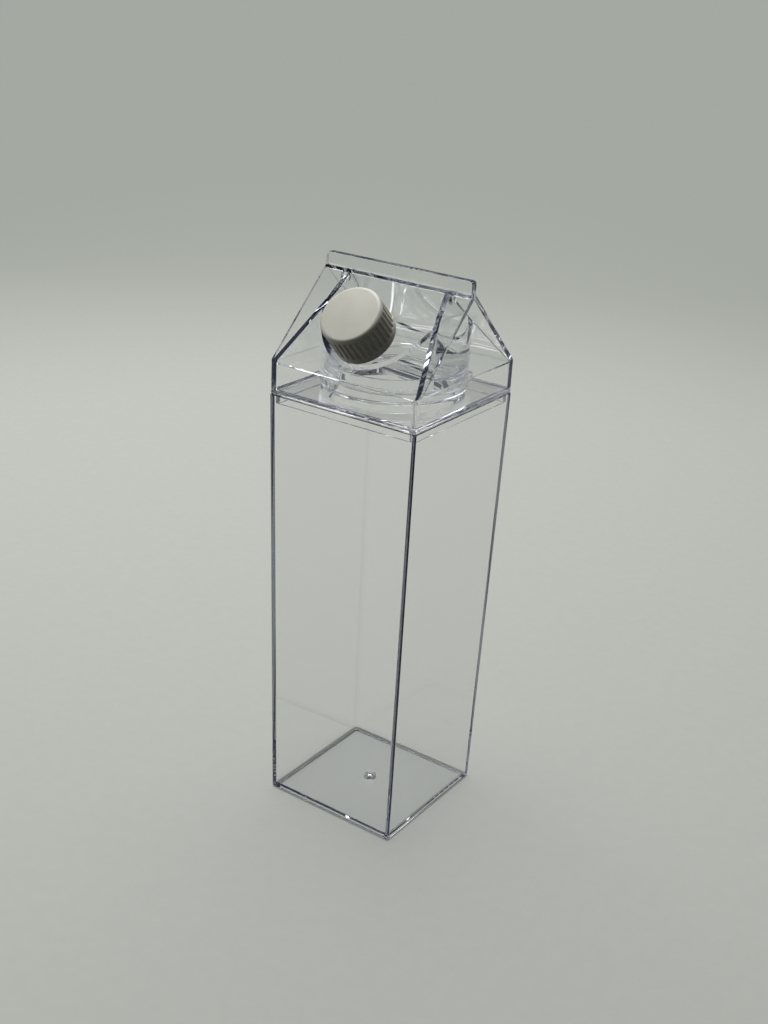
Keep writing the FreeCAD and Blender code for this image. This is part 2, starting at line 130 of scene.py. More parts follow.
class HeadSizes(PropertyGroup):
    """Gable head"""
    wall: length("Wall", "Skirt, roof panels and gable walls", 1.8)
    eaves: length("Eaves", "Height of the eaves", 184.0)
    ridge: length("Ridge", "Height of the roof at the fin's foot", 214.3)
    corner: length("Corners", "Radius of the skirt's upright corners", 1.1)
    edge: length("Edges", "Radius of the roof's and skirt's edges", 0.25)
    inner_edge: length("Inside edges", "Radius of the inside edges", 0.4)
    inner_corner: length("Inside corners", "Radius of the skirt's inside corners", 0.9)
    fin: length("Fin", "Thickness of the fin", 3.0)
    fin_inset: length("Fin inset", "Fin's ends inside the gable ends", 0.4)
    fin_end: length("Fin ends", "Radius of the fin's end corners", 1.2)
    fin_edge: length("Fin edges", "Radius of the fin's long edges", 0.6)
    fin_foot: length("Fin foot", "Height of the fin's sloping foot above the ridge", 0.9)
    pocket: length("Pocket", "Depth of a gable pocket at the bend in its wall", 7.8)
    pocket_rise: length("Pocket rise", "Eaves to the bend in the pocket's wall", 21.0)
    pocket_top: length("Pocket top", "Depth of a gable pocket at the ridge", 10.0)
    block: length("Block", "Height of the block under the fin in a pocket", 4.6)
    collar: length("Collar", "Outside radius of the collar", 27.0)
    collar_wall: length("Collar wall", "Thickness of the collar", 1.6)
    collar_foot: length("Collar foot", "Height of the collar's lower edge", 176.9)
    bead: length("Thread bead", "How far the collar's thread stands in", 0.35)
    lug_width: length("Lug width", "Stop lug round the collar", 2.6)
    lug_depth: length("Lug depth", "Stop lug out from the collar", 2.0)
    lug_height: length("Lug height", "Stop lug up from the collar's edge", 2.7)
    spout_place: length("Spout place", "Eaves to the spout's axis, up the roof", 18.9)
    spout: length("Spout", "Outside radius of the spout", 9.6)
    spout_wall: length("Spout wall", "Thickness of the spout", 1.4)
    spout_height: length("Spout height", "Spout above the roof", 12.6)


class CapSizes(PropertyGroup):
    """Ribbed screw cap"""
    gap: length("Gap", "Cap above the roof", 0.6)
    radius: length("Radius", "Cap's outside at its foot", 11.99)
    taper: length("Taper", "Radius lost to the top", 0.35)
    height: length("Height", "Cap's height", 13.7)
    wall: length("Wall", "Thickness of the skirt", 1.3)
    top: length("Top", "Thickness of the top", 1.5)
    edge: length("Edge", "Radius of the top's edge", 1.3)
    ribs: IntProperty(name="Ribs", description="Grip ribs round the cap", default=34)
    groove: length("Groove", "Depth of the grooves between the ribs", 0.7)
    band: length("Band", "Plain band at the foot", 2.7)
    rib_end: length("Rib end", "Ribs end this far below the top", 1.6)
    fade: length("Fade", "Length over which a rib runs out", 0.5)


class Finishes(PropertyGroup):
    """Colours of the plastics"""
    clear: colour("Clear plastic", "Surface colour of the clear plastic", (1.0, 1.0, 1.0))
    tint: colour("Tint", "Colour that long paths through the plastic take", (0.10, 0.15, 0.29))
    tint_density: amount("Tint density", "How soon the tint shows, per metre", 19.0)
    neck_share: amount("Neck tint", "Share of the tint that the thin neck plate takes", 0.4)
    cap: colour("Cap plastic", "Colour of the cap", (0.71, 0.70, 0.61))


class StageSettings(PropertyGroup):
    """Floor, lamps and camera"""
    paper: colour("Paper", "Colour of the floor and backdrop", (0.48, 0.497, 0.455))
    haze: colour("Haze", "Colour of the far floor and backdrop", (0.37, 0.395, 0.36))
    room: colour("Room", "Colour of the room that edges and gloss mirror", (0.085, 0.095, 0.125))
    overhead: amount("Overhead lamp", "Power of the overhead lamp in watts", 26.6)
    side: amount("Side lamp", "Power of the low lamp on the left in watts", 1.6)
    sky: amount("Sky", "Strength of the light all round", 0.05)
    azimuth: FloatProperty(name="Azimuth", description="Camera's turn from the front",
                           default=math.radians(34.291), subtype="ANGLE")
    elevation: FloatProperty(name="Elevation", description="Camera's height angle",
                             default=math.radians(23.370), subtype="ANGLE")
    roll: FloatProperty(name="Roll", description="Camera's turn about its view",
                        default=math.radians(3.124), subtype="ANGLE")
    distance: length("Distance", "Camera to the point that it looks at", 541.4)
    lens: FloatProperty(name="Lens", description="Focal length in millimetres", default=48.43)


class BottleSettings(PropertyGroup):
    """Everything that the bottle's operators read"""
    body: PointerProperty(type=BodySizes)
    neck: PointerProperty(type=NeckSizes)
    head: PointerProperty(type=HeadSizes)
    cap: PointerProperty(type=CapSizes)
    finishes: PointerProperty(type=Finishes)
    stage: PointerProperty(type=StageSettings)


# Node trees

class Wire:
    """A node's output with arithmetic operators, each of which adds a Math node."""

    def __init__(self, tree, socket):
        self.tree, self.socket = tree, socket

    def __add__(self, other):
        return self.tree.math("ADD", self, other)

    def __sub__(self, other):
        return self.tree.math("SUBTRACT", self, other)

    def __rsub__(self, other):
        return self.tree.math("SUBTRACT", other, self)

    def __mul__(self, other):
        return self.tree.math("MULTIPLY", self, other)

    def __truediv__(self, other):
        return self.tree.math("DIVIDE", self, other)

    def __pow__(self, other):
        return self.tree.math("POWER", self, other)

    __radd__, __rmul__ = __add__, __mul__

    def smaller(self, other):
        return self.tree.math("MINIMUM", self, other)

    def larger(self, other):
        return self.tree.math("MAXIMUM", self, other)

    def step(self, start, end, low=0.0, high=1.0):
        """Runs smoothly from low to high between two values."""
        return self.tree.wire("ShaderNodeMapRange", {"interpolation_type": "SMOOTHSTEP"},
                              {"Value": self, "From Min": start, "From Max": end,
                               "To Min": low, "To Max": high})


class Tree:
    """A node tree and the one method that adds nodes to it."""

    def __init__(self, group):
        self.group = group
        group.nodes.clear()

    def node(self, kind, settings=None, values=None):
        """A node of a type, its settings first, then its sockets' values or links."""
        node = self.group.nodes.new(kind)
        for name, setting in (settings or {}).items():
            setattr(node, name, setting)
        for name, given in (values or {}).items():
            if isinstance(given, Wire):
                self.group.links.new(given.socket, node.inputs[name])
            else:
                node.inputs[name].default_value = given
        return node

    def wire(self, kind, settings=None, values=None, output=0):
        """One output of a new node."""
        return Wire(self, self.node(kind, settings, values).outputs[output])

    def wires(self, kind, values=None):
        """All outputs of a new node, by name."""
        node = self.node(kind, values=values)
        return {output.name: Wire(self, output) for output in node.outputs}

    def math(self, operation, *values):
        return self.wire("ShaderNodeMath", {"operation": operation}, dict(enumerate(values)))

    def noise(self, place, scale, detail):
        return self.wire("ShaderNodeTexNoise",
                         values={"Vector": place, "Scale": scale, "Detail": detail})

    def ramp(self, factor, stops):
        """Runs through colours at (place, colour) stops."""
        node = self.node("ShaderNodeValToRGB", values={"Fac": factor})
        ramp = node.color_ramp
        while len(ramp.elements) < len(stops):
            ramp.elements.new(0.5)
        for element, (place, shade) in zip(ramp.elements, stops):
            element.position, element.color = place, (*shade, 1)
        return Wire(self, node.outputs["Color"])

    def mix_colour(self, factor, first, second):
        """Runs from the first colour to the second."""
        return self.wire("ShaderNodeMix", {"data_type": "RGBA"},
                         {"Factor": factor, 6: first, 7: second}, output=2)

    def mix_shader(self, factor, first, second):
        """Runs from the first shader to the second."""
        return self.wire("ShaderNodeMixShader", values={"Fac": factor, 1: first, 2: second})


# Materials

def new_material(name):
    material = bpy.data.materials.new(name)
    material.use_nodes = True
    return material, Tree(material.node_tree)


def clear_plastic(name, finishes, share=1.0, rim=None):
    """Polished clear plastic: faint moulding waves, and a tint that shows edge on.

    The piece takes a share of the tint. Lamps light what is behind it through
    its walls, a little less near its outlines and much less below its rim.
    """
    material, tree = new_material(name)
    place = tree.wire("ShaderNodeTexCoord", output="Object")
    waves = tree.noise(place, 28.0, 1.0)
    smears = tree.noise(place, 90.0, 4.0)
    bump = tree.wire("ShaderNodeBump",
                     values={"Strength": 0.03, "Distance": 0.0004, "Height": waves})
    surface = tree.wire(
        "ShaderNodeBsdfPrincipled",
        values={"Base Color": (*finishes.clear, 1), "IOR": 1.56, "Transmission Weight": 1.0,
                "Specular Tint": (0.45, 0.45, 0.45, 1),
                "Roughness": smears.step(0.45, 0.75, 0.0, 0.03), "Normal": bump})
    depth = tree.wire("ShaderNodeVolumeAbsorption",
                      values={"Color": (*finishes.tint, 1),
                              "Density": share * finishes.tint_density})
    path = tree.wires("ShaderNodeLightPath")
    to_lamp = path["Is Shadow Ray"].larger(path["Is Diffuse Ray"])
    facing = tree.wire("ShaderNodeLayerWeight", values={"Blend": 0.5}, output="Facing")
    clearest, outline_loss, rim_share = 0.998, 0.05, 0.4
    through = clearest - outline_loss * facing ** 4.0
    if rim:
        height = tree.wire("ShaderNodeSeparateXYZ", values={"Vector": place}, output="Z")
        through = through * height.step(0.6 * rim, rim, rim_share, 1.0)
    passing = tree.wire("ShaderNodeBsdfTransparent")
    mix = tree.mix_shader(to_lamp * through, surface, passing)
    tree.node("ShaderNodeOutputMaterial", values={"Surface": mix, "Volume": depth})
    return material


def straight_look(path):
    """1 for what is seen directly or straight through clear walls, 0 by reflection."""
    direct = path["Is Camera Ray"].larger(path["Is Transmission Ray"])
    return direct * (1 - path["Glossy Depth"].smaller(1))


def mirrored_look(path):
    """1 for what clear plastic and gloss show, 0 for what lights the pieces."""
    return path["Is Glossy Ray"].larger(path["Is Transmission Ray"])


def cap_plastic(name, finishes):
    """Satin moulded plastic with a fine grain and a slightly uneven tone."""
    material, tree = new_material(name)
    place = tree.wire("ShaderNodeTexCoord", output="Object")
    tone = tree.noise(place, 120.0, 3.0)
    grain = tree.noise(place, 2600.0, 2.0)
    base = Vector(finishes.cap)
    shade = tree.ramp(tone, [(0.3, base * 0.96), (0.7, base * 1.03)])
    bump = tree.wire("ShaderNodeBump",
                     values={"Strength": 0.15, "Distance": 0.00003, "Height": grain})
    surface = tree.wire(
        "ShaderNodeBsdfPrincipled",
        values={"Base Color": shade, "IOR": 1.5, "Normal": bump,
                "Roughness": tone.step(0.3, 0.7, 0.34, 0.42)})
    tree.node("ShaderNodeOutputMaterial", values={"Surface": surface})
    return material


# Solids

def convex(planes, reach=0.5):
    """The solid inside a set of planes, each a point and an outward normal.

    It starts as a cube that goes this reach each way from the middle.
    """
    mesh = bmesh.new()
    bmesh.ops.create_cube(mesh, size=2 * reach)
    return cut_to(mesh, planes)


def cut_to(mesh, planes):
    """Cut a solid down to what lies inside a set of planes."""
    for point, normal in planes:
        parts = mesh.verts[:] + mesh.edges[:] + mesh.faces[:]
        cut = bmesh.ops.bisect_plane(mesh, geom=parts, plane_co=point, plane_no=normal,
                                     clear_outer=True, dist=1e-8)
        rim = [part for part in cut["geom_cut"] if isinstance(part, bmesh.types.BMEdge)]
        if rim:
            bmesh.ops.edgeloop_fill(mesh, edges=rim)
    bmesh.ops.recalc_face_normals(mesh, faces=mesh.faces)
    return mesh


def level(height, way):
    """A level plane; way is 1 for an upper side and -1 for an underside."""
    return [(Z * height, Z * way)]


def side(axis, lower, upper, way=1):
    """A plane on one side, through two (distance along axis, height) points."""
    (near, low), (far, high) = lower, upper
    normal = axis * (high - low) - Z * (far - near)
    return [(axis * near + Z * low, normal.normalized() * way)]


def sides(axis, lower, upper):
    """The same plane on both sides of the middle."""
    return side(axis, lower, upper) + side(-axis, lower, upper)


def tube_sides(low, low_half, high, high_half):
    """The four sides of a square block that may taper."""
    return (sides(X, (low_half, low), (high_half, high))
            + sides(Y, (low_half, low), (high_half, high)))


def upright(edge):
    """Whether an edge runs up, or nearly so."""
    way = edge.verts[1].co - edge.verts[0].co
    return abs(way.z) > 0.95 * way.length


def level_edge(height):
    """A test for edges that lie at a height."""
    return lambda edge: all(abs(corner.co.z - height) < CLOSE for corner in edge.verts)


def round_edges(mesh, radius, steps, chosen=lambda edge: True):
    """Round the chosen edges, in this many steps each."""
    edges = [edge for edge in mesh.edges if chosen(edge)]
    bmesh.ops.bevel(mesh, geom=edges, offset=radius, offset_type="OFFSET", segments=steps,
                    profile=0.5, affect="EDGES", clamp_overlap=True)
    return mesh


def round_profile(points, radii, steps=5):
    """A closed profile with arcs in place of its corners."""
    rounded = []
    for i, (corner, radius) in enumerate(zip(points, radii)):
        here = Vector(corner)
        back = (Vector(points[i - 1]) - here).normalized()
        ahead = (Vector(points[(i + 1) % len(points)]) - here).normalized()
        if not radius:
            rounded.append(here)
            continue
        half = back.angle(ahead) / 2
        centre = here + (back + ahead).normalized() * radius / math.sin(half)
        start = here + back * radius / math.tan(half) - centre
        end = here + ahead * radius / math.tan(half) - centre
        turn = start.angle_signed(end)
        for step in range(steps + 1):
            angle = turn * step / steps
            rounded.append(centre + Matrix.Rotation(-angle, 2) @ start)
    return rounded


def lathe(profile, segments):
    """A profile of (radius, height) points turned about Z."""
    mesh = bmesh.new()
    rings = []
    for i in range(segments):
        angle = 2 * math.pi * i / segments
        rings.append([mesh.verts.new((r * math.cos(angle), r * math.sin(angle), z))
                      for r, z in profile])
    count = len(profile)
    for i, ring in enumerate(rings):
        following = rings[(i + 1) % segments]
        for j in range(count):
            k = (j + 1) % count
            mesh.faces.new((ring[j], following[j], following[k], ring[k]))
    bmesh.ops.remove_doubles(mesh, verts=mesh.verts, dist=1e-7)
    bmesh.ops.dissolve_degenerate(mesh, dist=1e-8, edges=mesh.edges)
    # A side that lies on the axis leaves an edge with no face.
    bare = [edge for edge in mesh.edges if not edge.link_faces]
    bmesh.ops.delete(mesh, geom=bare, context="EDGES")
    bmesh.ops.recalc_face_normals(mesh, faces=mesh.faces)
    return mesh


def as_object(name, mesh):
    """An object from a mesh that is still being built, which is used up."""
    data = bpy.data.meshes.new(name)
    mesh.to_mesh(data)
    mesh.free()
    item = bpy.data.objects.new(name, data)
    bpy.context.scene.collection.objects.link(item)
    return item


def remove(item):
    data = item.data
    bpy.data.objects.remove(item)
    bpy.data.meshes.remove(data)


def bake_modifiers(item):
    """Turn an object with modifiers into a plain mesh."""
    bpy.context.view_layer.update()
    seen = item.evaluated_get(bpy.context.evaluated_depsgraph_get())
    old = item.data
    item.data = bpy.data.meshes.new_from_object(seen)
    item.modifiers.clear()
    bpy.data.meshes.remove(old)


def combine(operation, item, *tools):
    """UNION or DIFFERENCE of an object with others, which are used up."""
    for tool in tools:
        modifier = item.modifiers.new("Combine", "BOOLEAN")
        modifier.operation = operation
        modifier.solver = "EXACT"
        modifier.object = tool
        bake_modifiers(item)
        remove(tool)
    return item


def geometry_tree(name, inputs):
    """A Geometry Nodes tree with (name, kind) inputs, and a wire for each of them."""
    group = bpy.data.node_groups.new(name, "GeometryNodeTree")
    tree = Tree(group)
    for label, kind in inputs:
        group.interface.new_socket(label, in_out="INPUT", socket_type="NodeSocket" + kind)
    group.interface.new_socket("Geometry", in_out="OUTPUT", socket_type="NodeSocketGeometry")
    return tree, tree.wires("NodeGroupInput")


def end_tree(tree, geometry, finish):
    """End a tree in plain geometry with its material."""
    real = tree.wire("GeometryNodeRealizeInstances", values={"Geometry": geometry})
    painted = tree.wire("GeometryNodeSetMaterial", values={"Geometry": real, "Material": finish})
    tree.node("NodeGroupOutput", values={"Geometry": painted})
    return tree.group


def thread_tree():
    """Geometry nodes for one screw thread: a round bead along a helix."""
    tree, given = geometry_tree("Screw thread", (
        ("Radius", "Float"), ("Pitch", "Float"), ("Turns", "Float"), ("Bead", "Float"),
        ("Material", "Material")))
    radius, turns = given["Radius"], given["Turns"]
    helix = tree.wire("GeometryNodeCurveSpiral",
                      values={"Resolution": 128, "Rotations": turns, "Start Radius": radius,
                              "End Radius": radius, "Height": given["Pitch"] * turns})
    section = tree.wire("GeometryNodeCurvePrimitiveCircle",
                        values={"Resolution": 14, "Radius": given["Bead"]})
    along = tree.wire("GeometryNodeSplineParameter", output="Factor")
    run_out = along.smaller(1 - along).step(0.0, 0.05, low=0.15)
    swept = tree.wire("GeometryNodeCurveToMesh",
                      values={"Curve": helix, "Profile Curve": section, "Scale": run_out,
                              "Fill Caps": True})
    return end_tree(tree, swept, given["Material"])


def rib_tree():
    """Geometry nodes that sink grooves between ribs round a turned cap."""
    tree, given = geometry_tree("Grip ribs", (
        ("Geometry", "Geometry"), ("Ribs", "Float"), ("Depth", "Float"),
        ("Inside Radius", "Float"), ("Low", "Float"), ("High", "Float"), ("Fade", "Float"),
        ("Material", "Material")))
    inside, low, high, fade = (given[name] for name in ("Inside Radius", "Low", "High", "Fade"))
    place = tree.wire("GeometryNodeInputPosition")
    x, y, z = tree.wires("ShaderNodeSeparateXYZ", {"Vector": place}).values()
    radius = tree.math("SQRT", x * x + y * y)
    # The cosine is low on a rib and high in a groove, and the step makes their flanks.
    groove = tree.math("COSINE", tree.math("ARCTAN2", y, x) * given["Ribs"]).step(-0.35, 0.45)
    skin, least = 0.0003, 1e-5
    reach = (z.step(low, low + fade) * z.step(high - fade, high, 1.0, 0.0)
             * radius.step(inside, inside + skin))
    inwards = 0 - groove * reach * given["Depth"]
    offset = tree.wire("ShaderNodeCombineXYZ",
                       values={"X": x / radius.larger(least) * inwards,
                               "Y": y / radius.larger(least) * inwards})
    moved = tree.wire("GeometryNodeSetPosition",
                      values={"Geometry": given["Geometry"], "Offset": offset})
    return end_tree(tree, moved, given["Material"])


def run_tree(item, group, **inputs):
    """Put an object through a node tree and keep the plain mesh."""
    modifier = item.modifiers.new(group.name, "NODES")
    modifier.node_group = group
    for socket in group.interface.items_tree:
        name = socket.name.lower().replace(" ", "_")
        if socket.in_out == "INPUT" and name in inputs:
            modifier[socket.identifier] = inputs[name]
    bake_modifiers(item)


def screw_thread(radius, start, pitch, turns, bead, turn=0.0):
    """One thread on a cylinder, from a height up, turned round from +X."""
    item = as_object("thread", bmesh.new())
    run_tree(item, thread_tree(), radius=radius, pitch=pitch, turns=turns, bead=bead)
    item.data.transform(Matrix.Translation(Z * start) @ Matrix.Rotation(turn, 4, "Z"))
    return item


def set_normals(item, sharp=math.radians(32), narrow=1.2 * MM):
    """Flat faces keep their own normal and the rounded edges between them blend.

    A face counts as flat when it is wider than any strip of a rounded edge.
    """
    data = item.data
    mesh = bmesh.new()
    mesh.from_mesh(data)
    limit = math.cos(sharp)
    flat = {}
    for face in mesh.faces:
        longest = max(edge.calc_length() for edge in face.edges)
        flat[face] = face.calc_area() / longest > narrow
    normals = []
    for face in mesh.faces:
        for corner in face.loops:
            if flat[face]:
                normals.append(face.normal.copy())
                continue
            near = [other for other in corner.vert.link_faces
                    if other.normal.dot(face.normal) > limit]
            broad = [other for other in near if flat[other]]
            total = Vector()
            for other in broad or near:
                weight = other.calc_area() if broad else angle_at(other, corner.vert)
                total += other.normal * weight
            normals.append(total.normalized() if total.length else face.normal.copy())
    mesh.free()
    data.polygons.foreach_set("use_smooth", [True] * len(data.polygons))
    data.normals_split_custom_set(normals)


def angle_at(face, vert):
    """A face's angle at one of its corners."""
    return next(loop.calc_angle() for loop in face.loops if loop.vert == vert)


def finish_piece(item, node, material):
    """Clean normals and a material, then hide the CAD part and hang the piece from the root body.
    """
    set_normals(item)
    item.data.materials.clear()
    item.data.materials.append(material)
    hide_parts(node)
    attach(item, "root")


# Operators

class BOTTLE_OT_body(Operator):
    """Build the tapered square body with its stepped underside"""
    bl_idname = "bottle.body"
    bl_label = "Body"

    def execute(self, context):
        settings = context.scene.bottle
        sizes = settings.body
        high, top_half = BODY_HIGH[2], BODY_HIGH[0]
        foot_half = sizes.foot_width / 2

        def half_at(height):
            return foot_half + (top_half - foot_half) * height / high

        outside = convex(tube_sides(0, foot_half, high, top_half) + level(0, -1) + level(high, 1))
        round_edges(outside, sizes.corner, 6, upright)
        round_edges(outside, sizes.foot_edge, 5, level_edge(0))
        round_edges(outside, sizes.rim_edge, 2, level_edge(high))
        body = as_object("body_shell", outside)

        past = high + PAST
        room = convex(tube_sides(sizes.floor, half_at(sizes.floor) - sizes.wall,
                                 past, half_at(past) - sizes.wall)
                      + level(sizes.floor, -1) + level(past, 1))
        round_edges(room, sizes.inside, 5,
                    lambda edge: upright(edge) or level_edge(sizes.floor)(edge))

        recess_half = foot_half - sizes.foot_rim
        under = convex(tube_sides(0, recess_half, high, recess_half)
                       + level(-PAST, -1) + level(sizes.recess, 1))
        round_edges(under, sizes.recess_corner, 8, upright)
        round_edges(under, CRISP, 2, level_edge(sizes.recess))

        combine("DIFFERENCE", body, as_object("room", room), as_object("under", under))
        combine("UNION", body, self.dome(sizes.gate, sizes.gate_rise,
                                         sizes.floor, sizes.floor - SUNK))
        hollow_rise = sizes.gate_rise - 0.2 * MM
        combine("DIFFERENCE", body, self.dome(sizes.gate - sizes.gate_wall, hollow_rise,
                                              sizes.recess, 0))
        finish_piece(body, "body",
                     clear_plastic("body_plastic", settings.finishes, rim=FOOT_SHADE))
        return {"FINISHED"}

    def dome(self, radius, rise, foot, sunk):
        """A plug from the height sunk up to foot, where its round top starts."""
        ball = (radius ** 2 + rise ** 2) / (2 * rise)
        spread = math.atan2(radius, ball - rise)
        middle, steps = foot + rise - ball, 12
        profile = [(0, sunk), (radius, sunk)]
        for step in range(steps, -1, -1):
            angle = spread * step / steps
            profile.append((ball * math.sin(angle), middle + ball * math.cos(angle)))
        return as_object("dome", lathe(profile, SMALL_TURN))


class BOTTLE_OT_neck(Operator):
    """Build the square plate with its lip, its round neck and the neck's thread"""
    bl_idname = "bottle.neck"
    bl_label = "Neck"

    def execute(self, context):
        settings = context.scene.bottle
        sizes = settings.neck
        half, low, top = NECK_HIGH[0], NECK_LOW[2], NECK_HIGH[2]
        plate_edge, lip_corner, inside_edge = 0.35 * MM, 0.8 * MM, 0.5 * MM
        plate = convex(tube_sides(0, half, 1, half)
                       + level(sizes.plate_foot, -1) + level(sizes.plate_top, 1))
        round_edges(plate, sizes.corner, 6, upright)
        round_edges(plate, plate_edge, 2, lambda part: not upright(part))
        neck = as_object("neck_plate", plate)

        lip = convex(tube_sides(0, sizes.lip_half, 1, sizes.lip_half)
                     + level(low, -1) + level(sizes.plate_foot + SUNK, 1))
        round_edges(lip, lip_corner, 4, upright)
        round_edges(lip, CRISP, 2, level_edge(low))
        lip_inside = sizes.lip_half - sizes.lip_wall
        inside = convex(tube_sides(0, lip_inside, 1, lip_inside)
                        + level(low - PAST, -1) + level(sizes.plate_foot, 1))
        round_edges(inside, inside_edge, 3, lambda part: upright(part)
                    or level_edge(sizes.plate_foot)(part))

        # The neck is turned as a thick ring, and the opening cuts it to its wall.
        bore, start, foot = sizes.radius - sizes.wall, sizes.plate_top - SUNK, sizes.plate_foot
        core, mouth_edge = bore - 4 * MM, 0.5 * MM
        flare, flare_foot, flare_edge = 1.3 * MM, 0.3 * MM, 0.6 * MM
        round_neck = lathe(round_profile(
            [(core, start), (sizes.ring, start), (sizes.ring, sizes.ring_top),
             (sizes.radius, sizes.ring_top), (sizes.radius, top), (core, top)],
            [0, 0, EASED, PLAIN, mouth_edge, 0]), LARGE_TURN)
        opening = lathe(round_profile(
            [(0, foot - PAST), (bore, foot - PAST), (bore, top - flare_foot),
             (bore + flare, top + PAST), (0, top + PAST)],
            [0, 0, flare_edge, 0, 0]), LARGE_TURN)
        thread = screw_thread(sizes.radius, sizes.ring_top + 1.6 * MM, sizes.pitch,
                              sizes.turns, sizes.bead, math.radians(200))
        combine("UNION", neck, as_object("lip", lip), as_object("round_neck", round_neck), thread)
        combine("DIFFERENCE", neck, as_object("inside", inside), as_object("opening", opening))
        finish_piece(neck, "neck",
                     clear_plastic("neck_plastic", settings.finishes,
                                   share=settings.finishes.neck_share))
        return {"FINISHED"}


class RoofLines:
    """The head's lines that follow from its sizes, as (distance, height) pairs."""

    def __init__(self, sizes):
        self.half = HEAD_HIGH[0]
        self.foot = HEAD_LOW[2]
        self.room = self.half - sizes.wall
        self.angle = math.atan2(sizes.ridge - sizes.eaves, self.half - sizes.fin / 2)
        slope, drop = math.tan(self.angle), sizes.wall / math.cos(self.angle)
        self.roof = ((self.half, sizes.eaves), (0, sizes.eaves + self.half * slope))
        self.underside = ((self.half, sizes.eaves - drop),
                          (0, sizes.eaves + self.half * slope - drop))
        bend = (self.half - sizes.pocket, sizes.eaves + sizes.pocket_rise)
        self.gable = ((self.half, sizes.eaves), bend)
        self.upper_gable = (bend, (self.half - sizes.pocket_top, sizes.ridge))
        shift = sizes.wall / math.sin(math.atan2(sizes.pocket_rise, sizes.pocket))
        self.inner_gable, self.inner_upper_gable = (
            tuple((distance - shift, height) for distance, height in line)
            for line in (self.gable, self.upper_gable))
        self.spout = (Matrix.Translation((0, sizes.spout_place * math.cos(self.angle) - self.half,
                                          sizes.eaves + sizes.spout_place * math.sin(self.angle)))
                      @ Matrix.Rotation(self.angle, 4, "X"))


